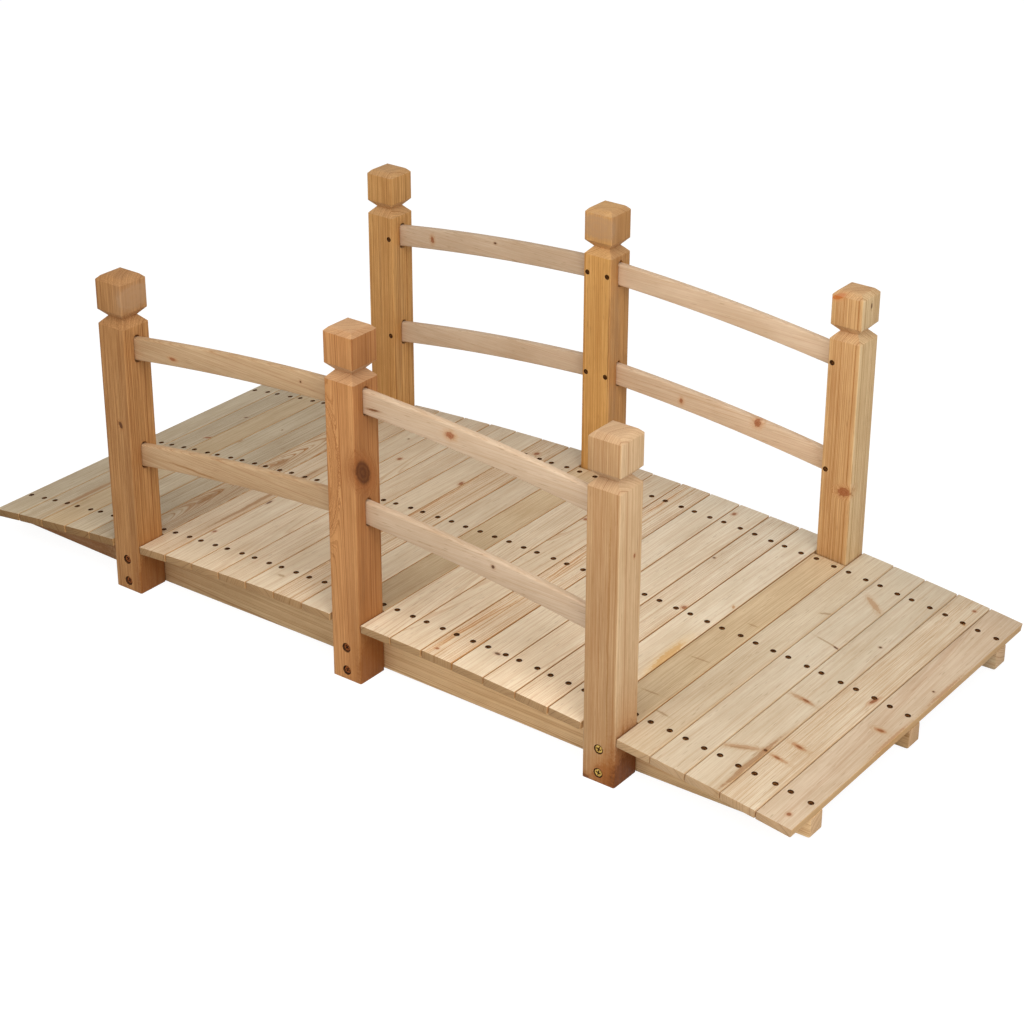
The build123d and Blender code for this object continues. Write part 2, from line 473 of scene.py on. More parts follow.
@dataclass(frozen=True)
class FirFinish:
    """Bare planed fir, cut from its own place in a log."""

    name: str
    run: Run
    middle: Triple
    seed: int
    look: Look
    log_reach: float = 400.0
    soft_share: float = 0.25
    fleck_share: float = 0.35
    sawn_rings: float = 0.8
    side_step: Pair = (0.2, 0.9)
    flank_step: Pair = (0.6, 0.95)
    crevice_step: Pair = (0.15, 0.8)
    roughness: Pair = (0.16, 0.56)
    end_roughness: float = 0.15
    fibre_height: float = 0.6
    ring_depth: float = 0.5
    bump: Pair = (0.35, 0.00025)
    specular: float = 0.16

    def material(self) -> Material:
        """Builds the board's material.

        Returns:
            The finished material.
        """
        look, figure = self.look, self.look.figure
        made = bpy.data.materials.new(self.name)
        w = Wiring.emptied(made)
        draw = random.Random(self.seed)
        seed = tuple(draw.uniform(-self.log_reach, self.log_reach) for _ in range(3))
        offset = w.vector("SUBTRACT", w.add("ShaderNodeTexCoord").outputs["Object"], self.middle)
        turn = {"Vector": offset, "Rotation": self.run.value, "Scale": (1 / MM,) * 3}
        place = w.add("ShaderNodeMapping", turn, vector_type="POINT").outputs[0]
        spots = [mark.spot(w, place) for mark in look.marks]
        swell: object = 0.0
        for spot in spots:
            swell = w.plus(swell, spot["Swell"])
        pith = {"Pith": (*figure.pith, 0.0), "Lean": (*figure.lean, 0.0), "Seed": seed}
        width = {"Ring_Width": figure.ring_width, "Wander": figure.wander, "Swell": swell}
        rings = w.place(SHELF.rings, Place=place, **pith, **width)
        fibre = w.place(SHELF.fibre, Place=place, Seed=seed)
        end = w.place(SHELF.cut_end, Fibres=tuple(float(run is self.run) for run in Run))["End"]
        early, late = look.tone.value
        # The faces that look along the bridge get their own tone: partly the wood's own colour, partly
        # painted light and shade on that side.
        if look.side_tone_and_light:
            sideways = w.step(w.squareness(ALONG_BRIDGE), *self.side_step)
            early, late = (w.mix(sideways, *pair) for pair in zip(look.tone.value, look.side_tone_and_light.value))
        colour = w.mix(w.times(rings["Soft"], figure.strength * self.soft_share), early, late)
        colour = w.mix(w.times(rings["Late"], figure.strength), colour, late)
        colour = w.mix(1.0, colour, w.mix(fibre["Patch"], *PATCH_LEVELS), "MULTIPLY")
        colour = w.mix(w.times(fibre["Fibre"], figure.fibre), colour, late)
        colour = w.mix(w.times(fibre["Fleck"], self.fleck_share), colour, FLECK_TINT)
        for mark, spot in zip(look.marks, spots):
            colour = mark.paint(w, spot, colour)
        # Painted light and shade: the brightness fades from one end of the board to the other.
        along = w.split(place)["Z"]
        first, last, reach = look.fade
        level = w.step(along, -reach, reach, first * look.brightness, last * look.brightness)
        # Painted sheen: the far end of the board is paled and cooled like a soft reflection.
        grey = w.add("ShaderNodeCombineColor")
        for socket, share in zip(grey.inputs, SHEEN_SHARES):
            w.feed(socket, w.times(level, w.step(along, -reach, reach, 1.0, 1.0 + look.painted_sheen * share)))
        colour = w.mix(1.0, colour, grey.outputs[0], "MULTIPLY")
        sawn = w.mix(w.times(rings["Late"], self.sawn_rings), *look.sawn)
        colour = w.mix(w.times(end, look.end_share), colour, sawn)
        # Painted seam shade: a plank's long sides, seen down the gaps, are tinted as the shade between the
        # planks.
        if self.run is Run.ACROSS:
            sideways = w.step(w.squareness(ALONG_BRIDGE), *self.flank_step, 0.0, look.flank_shade)
            colour = w.mix(sideways, colour, FLANK_SHADE_TINT)
        # Painted shade: ambient occlusion darkens and tints crevices, seams and recesses.
        crevice = w.add("ShaderNodeAmbientOcclusion", {"Distance": CREVICE_REACH}, samples=4)
        crevice_shade_mask = w.step(crevice.outputs["AO"], *self.crevice_step, look.crevice_shade, 0.0)
        colour = w.mix(crevice_shade_mask, colour, w.mix(1.0, colour, CREVICE_SHADE_TINT, "MULTIPLY"))
        rough = w.math("MULTIPLY_ADD", fibre["Fibre"], *self.roughness)
        rough = w.plus(rough, w.times(end, self.end_roughness))
        raised, worn = w.times(fibre["Fibre"], self.fibre_height), w.times(rings["Late"], self.ring_depth)
        height = w.math("SUBTRACT", raised, worn)
        surface = {"Base Color": colour, "Roughness": rough, "Normal": w.bump(height, *self.bump)}
        w.finish("ShaderNodeBsdfPrincipled", {**surface, "Specular IOR Level": self.specular})
        return made


@dataclass(frozen=True)
class BoreFinish:
    """The dark wall of a drilled hole, partly scorched wood and partly painted shade of the recess."""

    name: str = "bored_fir"
    dark: Colour = shade(52, 30, 17)
    light: Colour = shade(98, 62, 34)
    cloud: Triple = (260.0, 3.0, 0.6)
    cloud_step: Pair = (0.35, 0.65)
    roughness: Pair = (0.2, 0.7)
    specular: float = 0.1

    def material(self) -> Material:
        """Builds the material, darker and lighter round the hole.

        Returns:
            The finished material.
        """
        made = bpy.data.materials.new(self.name)
        w = Wiring.emptied(made)
        uneven = w.noise(w.add("ShaderNodeTexCoord").outputs["Object"], *self.cloud)
        colour = w.mix(w.step(uneven, *self.cloud_step), self.dark, self.light)
        surface = {"Base Color": colour, "Roughness": w.math("MULTIPLY_ADD", uneven, *self.roughness)}
        w.finish("ShaderNodeBsdfPrincipled", {**surface, "Specular IOR Level": self.specular})
        return made


@dataclass(frozen=True)
class ScrewFinish:
    """Plated screw steel, duller where dust and thread oil sit."""

    name: str
    plate: Colour
    dull: Colour
    roughness: float
    metallic: float = 0.9
    specular: float = 0.5
    cloud: Triple = (420.0, 4.0, 0.6)
    cloud_step: Pair = (0.38, 0.66)
    rougher: float = 0.25
    metal_lost: float = 0.3
    bump: Pair = (0.3, 0.0001)

    def material(self) -> Material:
        """Builds the plating's material.

        Returns:
            The finished material.
        """
        made = bpy.data.materials.new(self.name)
        w = Wiring.emptied(made)
        cloud = w.noise(w.add("ShaderNodeTexCoord").outputs["Object"], *self.cloud)
        dull = w.step(cloud, *self.cloud_step)
        surface = {
            "Base Color": w.mix(dull, self.plate, self.dull),
            "Roughness": w.math("MULTIPLY_ADD", dull, self.rougher, self.roughness),
            "Metallic": w.math("MULTIPLY_ADD", dull, -self.metal_lost * self.metallic, self.metallic),
            "Specular IOR Level": self.specular,
            "Normal": w.bump(cloud, *self.bump),
        }
        w.finish("ShaderNodeBsdfPrincipled", surface)
        return made


# --------------------------------------------------------------------------- modelling


class Bench:
    """The modelling moves that all the sub-assemblies share."""

    @staticmethod
    def pick(obj: Object, *others: Object) -> None:
        """Selects some objects and nothing else.

        Args:
            obj: The one that is made active.
            others: The rest.
        """
        bpy.ops.object.select_all(action="DESELECT")
        for item in (obj, *others):
            item.select_set(True)
        bpy.context.view_layer.objects.active = obj

    @staticmethod
    @contextmanager
    def editing(obj: Object, kind: str = "faces", test: Callable[..., bool] = bool) -> Iterator[None]:
        """Holds an object in edit mode with some of its faces or edges selected.

        Args:
            obj: The mesh object.
            kind: What is selected, faces or edges.
            test: Tells which of them are.
        """
        Bench.pick(obj)
        bpy.ops.object.mode_set(mode="EDIT")
        bpy.ops.mesh.select_mode(type="FACE" if kind == "faces" else "EDGE")
        bpy.ops.mesh.select_all(action="DESELECT")
        mesh = bmesh.from_edit_mesh(obj.data)
        for item in [item for item in getattr(mesh, kind) if test(item)]:
            item.select_set(True)
        bmesh.update_edit_mesh(obj.data)
        yield
        bpy.ops.object.mode_set(mode="OBJECT")

    @staticmethod
    def primitive(operator: Callable, scale: Triple = (1.0, 1.0, 1.0), **settings: object) -> Object:
        """Adds a primitive and applies its place, turn and scale.

        Args:
            operator: The operator that adds it.
            scale: Its scale.
            settings: What the operator takes.

        Returns:
            The primitive.
        """
        bpy.ops.object.select_all(action="DESELECT")
        operator(**settings)
        made = bpy.context.active_object
        made.scale = scale
        bpy.ops.object.transform_apply(location=True, rotation=True, scale=True)
        return made

    @staticmethod
    def copy_node(node: str, name: str) -> Object:
        """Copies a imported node's mesh and joins its loose triangles into clean faces.

        Args:
            node: The node's name.
            name: The new piece's name.

        Returns:
            The new piece, in the node's place.
        """
        piece = bpy.data.objects.new(name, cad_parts[node].data.copy())
        bpy.context.scene.collection.objects.link(piece)
        piece.data.name = name
        piece.data.materials.clear()
        Bench.pick(piece)
        bpy.ops.mesh.customdata_custom_splitnormals_clear()
        with Bench.editing(piece):
            bpy.ops.mesh.remove_doubles(threshold=MERGE_GAP)
            bpy.ops.mesh.dissolve_limited(angle_limit=FLAT_ANGLE)
        return piece

    @staticmethod
    def modify(piece: Object, name: str, kind: str, **settings: object) -> None:
        """Gives a piece a modifier and applies it.

        Args:
            piece: The piece.
            name: The modifier's name.
            kind: The modifier's type.
            settings: Properties to set on it.
        """
        modifier = piece.modifiers.new(name, kind)
        for key, value in settings.items():
            setattr(modifier, key, value)
        Bench.pick(piece)
        bpy.ops.object.modifier_apply(modifier=modifier.name)

    @staticmethod
    def ease(piece: Object, width: float, angle: float) -> None:
        """Rounds a piece's edges, by a width in metres, where they are sharper than an angle in degrees."""
        limit = {"limit_method": "ANGLE", "angle_limit": math.radians(angle)}
        Bench.modify(piece, "eased_edges", "BEVEL", width=width, segments=2, **limit)

    @staticmethod
    def cut(piece: Object, cutter: Object) -> None:
        """Takes a cutter out of a piece and leaves the cutter's material on the new walls.

        Args:
            piece: The piece.
            cutter: The closed shape to remove, deleted afterwards.
        """
        how = {"operation": "DIFFERENCE", "solver": "EXACT", "material_mode": "TRANSFER"}
        Bench.modify(piece, "bored", "BOOLEAN", **how, object=cutter)
        bpy.data.objects.remove(cutter)

    @staticmethod
    def stamp(pattern: Object, name: str, spots: Iterable[Matrix]) -> Object:
        """Copies a pattern to several spots, each copy with its own mesh, and joins the copies.

        Args:
            pattern: The object that is copied.
            name: The joined object's name.
            spots: Where each copy goes.

        Returns:
            The joined copies.
        """
        copies = []
        for spot in spots:
            copy = bpy.data.objects.new(name, pattern.data.copy())
            bpy.context.scene.collection.objects.link(copy)
            copy.data.transform(spot)
            copies.append(copy)
        Bench.pick(*copies)
        if len(copies) > 1:
            bpy.ops.object.join()
        copies[0].name = name
        copies[0].data.name = name
        return copies[0]

    @staticmethod
    def settle(piece: Object, slot: Slot, *nodes: str) -> None:
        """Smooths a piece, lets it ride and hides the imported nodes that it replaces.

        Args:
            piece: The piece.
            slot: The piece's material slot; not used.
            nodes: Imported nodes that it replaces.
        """
        Bench.pick(piece)
        bpy.ops.object.shade_smooth_by_angle(angle=SMOOTH_ANGLE)
        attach(piece, ROOT)
        if nodes:
            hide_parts(*nodes)
        log.info("%s: %d faces", piece.name, len(piece.data.polygons))


def facing(spot: Vector, out: Vector, spin: float = 0.0) -> Matrix:
    """The place, in metres, of something that looks out along a normal, spun about it by some degrees."""
    turn = out.to_track_quat("Z", "Y").to_matrix().to_4x4()
    return Matrix.Translation(spot) @ turn @ Matrix.Rotation(math.radians(spin), 4, "Z")


@dataclass
class ScrewPattern:
    """A countersunk cross-head screw and the hole it sits in, modelled once. Sizes in millimetres."""

    name: str
    finish: ScrewFinish
    slot: Slot
    head_radius: float
    hole_radius: float
    sunk: float
    head_depth: float = 1.8
    sides: int = 16
    taper: float = 0.6
    rim: float = 0.1
    recess: Triple = (1.25, 0.34, 1.1)
    bore_sides: int = 20
    bore_over: float = 1.5
    bore_depth: float = 0.6
    mouth: float = 1.12
    head: Object = field(init=False)
    hole: Object = field(init=False)

    def build(self, bored: Material) -> None:
        """Models the head and the hole's cutter at the origin, looking up.

        Args:
            bored: Material of the hole's wall and of the painted shade in the head's recess.
        """
        self.head = self.build_head(bored)
        self.hole = self.build_hole()
        self.hole.data.materials.append(bored)
        for item in (self.head, self.hole):
            item.hide_render = True

    def build_head(self, crevice_shade: Material) -> Object:
        """Models the head: a tapered disc with an eased rim and a cross recess.

        Args:
            crevice_shade: Material of the recess, painted dark as its shade.

        Returns:
            The head, with its top sunk below the origin.
        """
        radius, depth, sunk = self.head_radius * MM, self.head_depth * MM, self.sunk * MM
        middle = (0.0, 0.0, -sunk - depth / 2)
        disc = {"vertices": self.sides, "radius": radius, "depth": depth, "location": middle}
        head = Bench.primitive(bpy.ops.mesh.primitive_cylinder_add, **disc)
        with Bench.editing(head, "faces", lambda f: f.normal.z < -UPWARD):
            bpy.ops.transform.resize(value=(self.taper, self.taper, 1.0), center_override=middle)
        with Bench.editing(head, "faces", lambda f: f.normal.z > UPWARD):
            bpy.ops.mesh.bevel(offset=radius * self.rim, segments=1)
        head.data.materials.append(self.finish.material())
        arms = []
        for turn in (0.0, math.pi / 2):
            scale = tuple(size * share for size, share in zip((radius, radius, depth), self.recess))
            place = {"location": (0.0, 0.0, -sunk), "rotation": (0.0, 0.0, turn)}
            arms.append(Bench.primitive(bpy.ops.mesh.primitive_cube_add, scale, size=1.0, **place))
            # The recess is given the dark bore material: painted shade in the cross.
            arms[-1].data.materials.append(crevice_shade)
        for arm in arms:
            Bench.cut(head, arm)
        head.name = f"{self.name}_pattern"
        return head

    def build_hole(self) -> Object:
        """Models the hole's cutter: a straight bore with a slightly opened mouth.

        Returns:
            The cutter.
        """
        deep, over = (self.sunk + self.head_depth * self.bore_depth) * MM, self.bore_over * MM
        middle = (0.0, 0.0, (over - deep) / 2)
        bore = {"vertices": self.bore_sides, "radius": self.hole_radius * MM, "depth": deep + over}
        hole = Bench.primitive(bpy.ops.mesh.primitive_cylinder_add, **bore, location=middle)
        with Bench.editing(hole, "faces", lambda f: f.normal.z > UPWARD):
            bpy.ops.transform.resize(value=(self.mouth, self.mouth, 1.0), center_override=middle)
        hole.name = f"{self.name}_bore"
        return hole

    def drive(self, piece: Object, name: str, spots: list[Matrix]) -> None:
        """Bores a piece at some spots and sets a screw in each hole.

        Args:
            piece: The piece that is bored.
            name: Name of the joined screws.
            spots: Where the screws sit.
        """
        Bench.cut(piece, Bench.stamp(self.hole, f"{name}_holes", spots))
        Bench.settle(Bench.stamp(self.head, name, spots), self.slot)

    def put_away(self) -> None:
        """Deletes the patterns once all the screws are set."""
        for item in (self.head, self.hole):
            bpy.data.objects.remove(item)


# --------------------------------------------------------------------------- sub-assemblies


@dataclass(frozen=True)
class PlankCard:
    """What one deck plank looks like.

    The strength is that of its rings and the end level the brightness of its cut ends. The swell, in
    millimetres, widens it on the sides that have a neighbour. The rest is as in a look.
    """

    tone: Tone
    sawing: Sawing
    strength: float = 1.0
    brightness: float = 1.0
    marks: tuple[Mark, ...] = ()
    # By default a plank is painted brighter at the front and darker at the back, as light and shade.
    fade: Triple = (1.05, 0.88, 320.0)
    painted_sheen: float = 0.0
    flank_shade: float = 0.75
    crevice_shade: float = 0.6
    end_share: float = 0.9
    end_level: float = 0.85
    swell: float = 0.0


PLANK_MARK_DEPTH = 30.0
RAIL_MARK_DEPTH = 20.0
POST_MARK_DEPTH = 14.0
POST_HALF = 26.5


def flat_mark(kind: Kind, across: float, along: float, wide: float, long: float, turn: float = 0.0) -> Mark:
    """A mark on a plank's top, from the plank's middle, with half its width and half its length."""
    return Mark(kind, (across, 0.0, along), (wide, PLANK_MARK_DEPTH, long), turn)


def default_cards() -> dict[int, PlankCard]:
    """The look of each plank, numbered from the left end.

    Returns:
        Plank numbers and their cards.
    """
    m = flat_mark
    knot, pin, flame, crack = Kind.KNOT, Kind.PIN, Kind.FLAME, Kind.CRACK
    resin, streak, amber = Kind.RESIN, Kind.STREAK, Kind.AMBER
    cream, grey, tan, pale = Tone.CREAM, Tone.GREY, Tone.TAN, Tone.PALE
    quiet, plain, lines, striped = Sawing.QUIET, Sawing.PLAIN, Sawing.LINES, Sawing.STRIPED
    worn = {"end_share": 1.0, "end_level": 0.64}
    # The right-end planks get less painted seam and crevice shade, lighter cut ends and narrower gaps.
    lighter_seams = {"flank_shade": 0.65, "crevice_shade": 0.3, "end_share": 0.65, "end_level": 1.1, "swell": 0.5}
    marks = {
        2: (m(pin, 15, 153, 4, 2, 20), m(knot, 21, 51, 6, 3, 20), m(streak, 16, -220, 5, 70)),
        4: (m(pin, 8, 135, 1.5, 2), m(streak, -22, 62, 2, 6)),
        6: (m(streak, -10, -140, 7, 36), m(streak, -4, 25, 6, 20)),
        7: (m(streak, 15, -90, 4.5, 150),),
        8: (m(pin, -22, -106, 2.5, 7), m(knot, -21, -232, 3, 4), m(pin, 5, 210, 2, 2)),
        9: (m(knot, -10, 137, 4, 4.5),),
        11: (m(knot, 24, 117, 3.5, 6, 10), m(crack, 2, -288, 7, 3)),
        12: (m(resin, -24, -40, 1.6, 220), m(knot, 0, 280, 4.5, 5)),
        16: (m(knot, -21, 135, 4, 4),),
        17: (
            m(resin, -13, 10, 1.5, 72, 3), m(resin, -7, 0, 1.2, 60, 2), m(resin, -12, -230, 1.6, 100, -3),
            m(resin, -17, -240, 1.2, 80, -2), m(resin, -14, 265, 1.8, 65), m(knot, -13, -315, 2.5, 3),
        ),
        18: (m(pin, 6, -272, 5, 3),),
        19: (m(knot, -18, 301, 3.5, 5),),
        20: (m(pin, -22, 162, 2.4, 2.4), m(knot, 24, 9, 4, 5)),
        21: (m(resin, 22, 60, 2, 5, 30), m(amber, 23, -118, 7, 45, 4)),
        22: (m(crack, 5, -92, 15, 1.6, 8), m(crack, 0, -208, 14, 1.8, 6), m(crack, 13, 37, 8, 2, 4)),
        23: (m(crack, 20, 140, 8, 3, 35), m(crack, -15, -240, 11, 2, -6)),
        24: (m(flame, 6, 212, 23, 5, -38), m(crack, 4, 75, 18, 1.6, -8), m(pin, 22, 71, 5, 1.8, -18)),
        25: (
            m(pin, 13.6, 119, 2.6, 2.6), m(flame, -2, -75, 20, 4, -5), m(knot, 3.6, -74, 6, 2.4, -8),
            m(flame, -2, -228, 26, 5, 32), m(crack, -4, -231, 18, 1.5, 32),
            m(streak, 23, -250, 4, 85), m(pin, 23, -213, 3, 3),
        ),
        26: (
            m(knot, 13.6, 309, 3, 3), m(resin, 19.5, 264, 2.4, 3), m(knot, 18, -6, 3, 11, -10),
            m(flame, -4.5, -174, 14, 5, -6), m(knot, -3, -174, 6, 2.4, -6),
            m(flame, -10, -216, 16, 4, -4), m(knot, -12, -216, 5, 2, -4),
        ),
        27: (
            m(flame, 3, -60, 10, 5, 6), m(knot, 4, -60, 5, 2.6, 6), m(knot, 7, -308, 3.2, 4),
            m(flame, 24, 92, 2.5, 48), m(flame, 24.5, -70, 2.8, 50), m(pin, 13, 77, 2, 2),
        ),
    }
    # The fades paint light and shade along the planks, such as post shadows on the front ends of 5, 6 and 14;
    # the bleach paints a sheen on the back ends.
    return {
        1: PlankCard(grey, quiet, fade=(0.94, 0.92, 300.0), **worn),
        2: PlankCard(grey, lines, 0.7, 0.94, marks[2], **worn),
        3: PlankCard(tan, quiet, 0.8, 0.92, **worn),
        4: PlankCard(grey, quiet, 1.0, 0.97, marks[4], **worn),
        5: PlankCard(grey, lines, 0.9, 0.97, fade=(0.88, 0.9, 200.0), **worn),
        6: PlankCard(pale, Sawing.PEAKED, 1.2, 0.98, marks[6], (0.8, 0.92, 200.0)),
        7: PlankCard(cream, lines, 0.9, 0.98, marks[7]),
        8: PlankCard(cream, quiet, 0.9, 0.99, marks[8]),
        9: PlankCard(cream, plain, 0.8, 1.03, marks[9]),
        10: PlankCard(cream, lines, 0.7, 1.01),
        11: PlankCard(cream, quiet, 0.8, 1.02, marks[11]),
        12: PlankCard(cream, striped, 0.75, 1.03, marks[12]),
        13: PlankCard(cream, quiet, 0.7, 0.96),
        14: PlankCard(tan, lines, 0.5, 1.07, fade=(0.82, 1.0, 260.0), painted_sheen=0.08),
        15: PlankCard(cream, plain, 0.8, 1.01, fade=(1.1, 0.89, 300.0), painted_sheen=0.04),
        16: PlankCard(cream, plain, 0.8, 1.02, marks[16], (1.1, 0.94, 300.0), 0.06),
        17: PlankCard(cream, striped, 0.85, 0.99, marks[17], (1.18, 1.05, 300.0), 0.14),
        18: PlankCard(cream, quiet, 0.9, 1.03, marks[18], (1.1, 0.98, 300.0), 0.12),
        19: PlankCard(cream, plain, 0.7, 1.0, marks[19], (1.2, 1.02, 300.0), 0.14),
        20: PlankCard(cream, lines, 0.9, 1.0, marks[20], (1.23, 1.0, 300.0), 0.18),
        21: PlankCard(cream, quiet, 0.7, 0.98, marks[21], (1.18, 1.03, 300.0), 0.14),
        22: PlankCard(tan, quiet, 1.0, 0.95, marks[22], (1.02, 1.16, 280.0), 0.02),
        23: PlankCard(pale, quiet, 0.8, 0.98, marks[23], (0.92, 1.04, 300.0), 0.14, **lighter_seams),
        24: PlankCard(cream, quiet, 0.7, 1.0, marks[24], (0.86, 0.96, 300.0), 0.12, **lighter_seams),
        25: PlankCard(cream, quiet, 0.8, 1.0, marks[25], (0.88, 0.89, 300.0), 0.06, **lighter_seams),
        26: PlankCard(cream, striped, 0.35, 1.0, marks[26], (0.95, 0.98, 300.0), 0.05, **lighter_seams),
        27: PlankCard(Tone.ROSY, quiet, 0.9, 1.0, marks[27], (0.93, 0.94, 300.0), **lighter_seams),
    }


@dataclass
class Deck:
    """The planks, their screw holes and screws. Sizes in millimetres."""

    screw: ScrewPattern
    cards: dict[int, PlankCard] = field(default_factory=default_cards)
    pair_offset: float = 15.3
    screw_drift: float = 1.2
    sawn: tuple[Colour, Colour] = (shade(186, 145, 97), shade(130, 84, 42))
    end_trim: float = 2.0
    end_facing: float = 0.95
    corner_round: float = 1.6
    eased: float = 0.5
    ease_angle: float = 40.0
    pith_drift: Pair = (6.0, 8.0)
    ring_spread: Pair = (0.85, 1.2)
    shape_seed: int = 4100
    finish_seed: int = 700
    stringers: tuple[str, ...] = ("stringer_front", "stringer_middle", "stringer_back")

    def build(self) -> None:
        """Builds the planks from the left end to the right end."""
        rows = [sum(corner.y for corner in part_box(stringer)) / 2 for stringer in self.stringers]
        for number, card in self.cards.items():
            self.build_plank(number, card, rows)

    @staticmethod
    def is_corner(edge: bmesh.types.BMEdge, out: Vector) -> bool:
        """Tells whether an edge is one of a plank's four standing corners."""
        run = (edge.verts[1].co - edge.verts[0].co).normalized()
        return abs(run.dot(out)) > SQUARE and all(abs(face.normal.dot(out)) < 0.1 for face in edge.link_faces)

    def sawn_figure(self, card: PlankCard, draw: random.Random) -> Figure:
        """Draws one plank's own figure from its usual sawing.

        Args:
            card: The plank's look.
            draw: Where the chances come from.

        Returns:
            The figure.
        """
        usual = card.sawing.value
        drifts = zip(usual.pith, self.pith_drift)
        pith = tuple(at * draw.choice((-1, 1)) + draw.uniform(-drift, drift) for at, drift in drifts)
        lean = tuple(slope * draw.choice((-1, 1)) for slope in usual.lean)
        ring_width = usual.ring_width * draw.uniform(*self.ring_spread)
        return Figure(pith, lean, ring_width, usual.wander, usual.strength * card.strength, usual.fibre)

    def build_plank(self, number: int, card: PlankCard, rows: list[float]) -> None:
        """Builds one plank with its screws.

        Args:
            number: The plank's number.
            card: Its look.
            rows: Where the stringers run under it.
        """
        node = f"plank_{number:02d}"
        draw = random.Random(self.shape_seed + number)
        plank = Bench.copy_node(node, f"deck_board_{number:02d}")
        for side in (-1, 1):
            with Bench.editing(plank, "faces", lambda f: f.normal.y * side > self.end_facing):
                trim = -side * draw.uniform(0.0, self.end_trim) * MM
                bpy.ops.transform.translate(value=(0.0, trim, 0.0))
        top = max(plank.data.polygons, key=lambda f: f.area if f.normal.z > UPWARD else 0.0)
        centre, out = top.center.copy(), top.normal.copy()
        across = Vector((out.z, 0.0, -out.x))
        for side in (-1, 1):
            if card.swell and number + side in self.cards:
                with Bench.editing(plank, "faces", lambda f: f.normal.dot(across) * side > SQUARE):
                    bpy.ops.transform.translate(value=across * side * card.swell * MM)
        with Bench.editing(plank, "edges", lambda e: self.is_corner(e, out)):
            bpy.ops.mesh.bevel(offset=self.corner_round * MM, segments=2)
        Bench.ease(plank, self.eased * MM, self.ease_angle)
        look = Look(
            card.tone,
            self.sawn_figure(card, draw),
            card.marks,
            card.brightness,
            end_share=card.end_share,
            fade=card.fade,
            painted_sheen=card.painted_sheen,
            flank_shade=card.flank_shade,
            crevice_shade=card.crevice_shade,
            sawn=tuple(dimmed(colour, card.end_level) for colour in self.sawn),
        )
        middle = (centre.x, 0.0, centre.z)
        finish = FirFinish(f"deck_fir_{number:02d}", Run.ACROSS, middle, self.finish_seed + number, look)
        plank.data.materials.append(finish.material())
        spots = []
        for row in rows:
            for side in (-1, 1):
                shift = (side * self.pair_offset + draw.uniform(-1, 1) * self.screw_drift) * MM
                drift = draw.uniform(-1, 1) * self.screw_drift * MM
                spot = Vector((centre.x, row + drift, centre.z)) + across * shift
                spots.append(facing(spot, out, draw.uniform(0, 90)))
        self.screw.drive(plank, f"deck_screws_{number:02d}", spots)
        Bench.settle(plank, Slot.DECK, node)


def front_mark(kind: Kind, across: float, height: float, wide: float, tall: float, turn: float = 0.0) -> Mark:
    """A mark on a post's front face, from the middle of its foot, with half its width and half its height."""
    return Mark(kind, (across, -POST_HALF, height), (wide, POST_MARK_DEPTH, tall), turn)


def side_mark(kind: Kind, across: float, height: float, wide: float, tall: float, turn: float = 0.0) -> Mark:
    """A mark on a post's right face, from the middle of its foot, with half its width and half its height."""
    return Mark(kind, (POST_HALF, across, height), (POST_MARK_DEPTH, wide, tall), turn, True)


def default_posts() -> dict[str, Look]:
    """The look of each post.

    Returns:
        Node names and their looks.
    """
    f, s = front_mark, side_mark
    knot, pin, streak, stain_and_shade = Kind.KNOT, Kind.PIN, Kind.STREAK, Kind.STAIN_AND_SHADE
    soak_and_shade, burl, swirl, rose, chalk, rust = Kind.SOAK_AND_SHADE, Kind.BURL, Kind.SWIRL, Kind.ROSE, Kind.CHALK, Kind.RUST
    # The soak and stain marks low on the front posts' right faces are painted shade under the deck's
    # overhang.
    marks = {
        "front_left": (
            f(streak, 9, 315, 1.6, 50), f(pin, 7.5, 284, 3.8, 6.0, 24),
            s(soak_and_shade, 0, 22, 34, 58), s(chalk, 0, 489, 40, 21),
        ),
        "front_middle": (
            f(swirl, -31, 330, 16, 80), s(burl, -10, 336, 14.5, 24.5, -30), s(soak_and_shade, 0, 22, 34, 58),
        ),
        "front_right": (
            f(streak, 12, 240, 1.4, 170), f(soak_and_shade, 12, 10, 26, 24, 28), f(stain_and_shade, 22, 2, 14, 20, 30),
            f(stain_and_shade, -23, 0, 9, 7), s(soak_and_shade, 2, 20, 40, 70), s(stain_and_shade, 2, 8, 36, 40),
            s(knot, 9, 341, 2.0, 3.2),
        ),
        "back_left": (f(streak, -1, 320, 1.2, 90),),
        "back_middle": (f(streak, 24, 330, 1.4, 90), f(chalk, 0, 522, 44, 22)),
        "back_right": (f(rose, 15, 200, 12, 8, 12), s(pin, 0, 498, 2, 5), f(rust, -15, 511, 12, 4.5, 24)),
    }
    figures = {
        "front_left": Figure((80, 40), (0.004, 0.002), 3.4, 1.6, 0.8, 0.45),
        "front_middle": Figure((-33, 24), (0.004, 0.014), 2.6, 2.0, 0.75, 0.22),
        "front_right": Figure((90, -36), (0.003, 0.002), 3.8, 1.4, 0.75),
        "back_left": Figure((95, -28), (0.002, 0.002), 3.2, 1.4, 0.95, 0.4),
        "back_middle": Figure((-60, 70), (0.004, 0.003), 4.2, 2.4, 0.6),
        "back_right": Figure((70, -60), (0.006, 0.003), 3.4, 1.8, 1.1),
    }
    # The third value is the tone of the right faces: partly the wood's own colour, partly painted light and
    # shade on that side.
    tones = {
        "front_left": (Tone.HONEY, 0.93, None, 0.1),
        "front_middle": (Tone.RUSSET, 0.95, Tone.BRICK, 0.6),
        "front_right": (Tone.BLOND, 1.0, Tone.SHELL, 0.75),
        "back_left": (Tone.OCHRE, 1.0, None, 0.4),
        "back_middle": (Tone.GOLD, 1.0, Tone.BRONZE, 0.4),
        "back_right": (Tone.MAIZE, 0.95, Tone.IVORY, 0.4),
    }
    return {f"post_{at}": Look(tone, figures[at], marks[at], *rest) for at, (tone, *rest) in tones.items()}


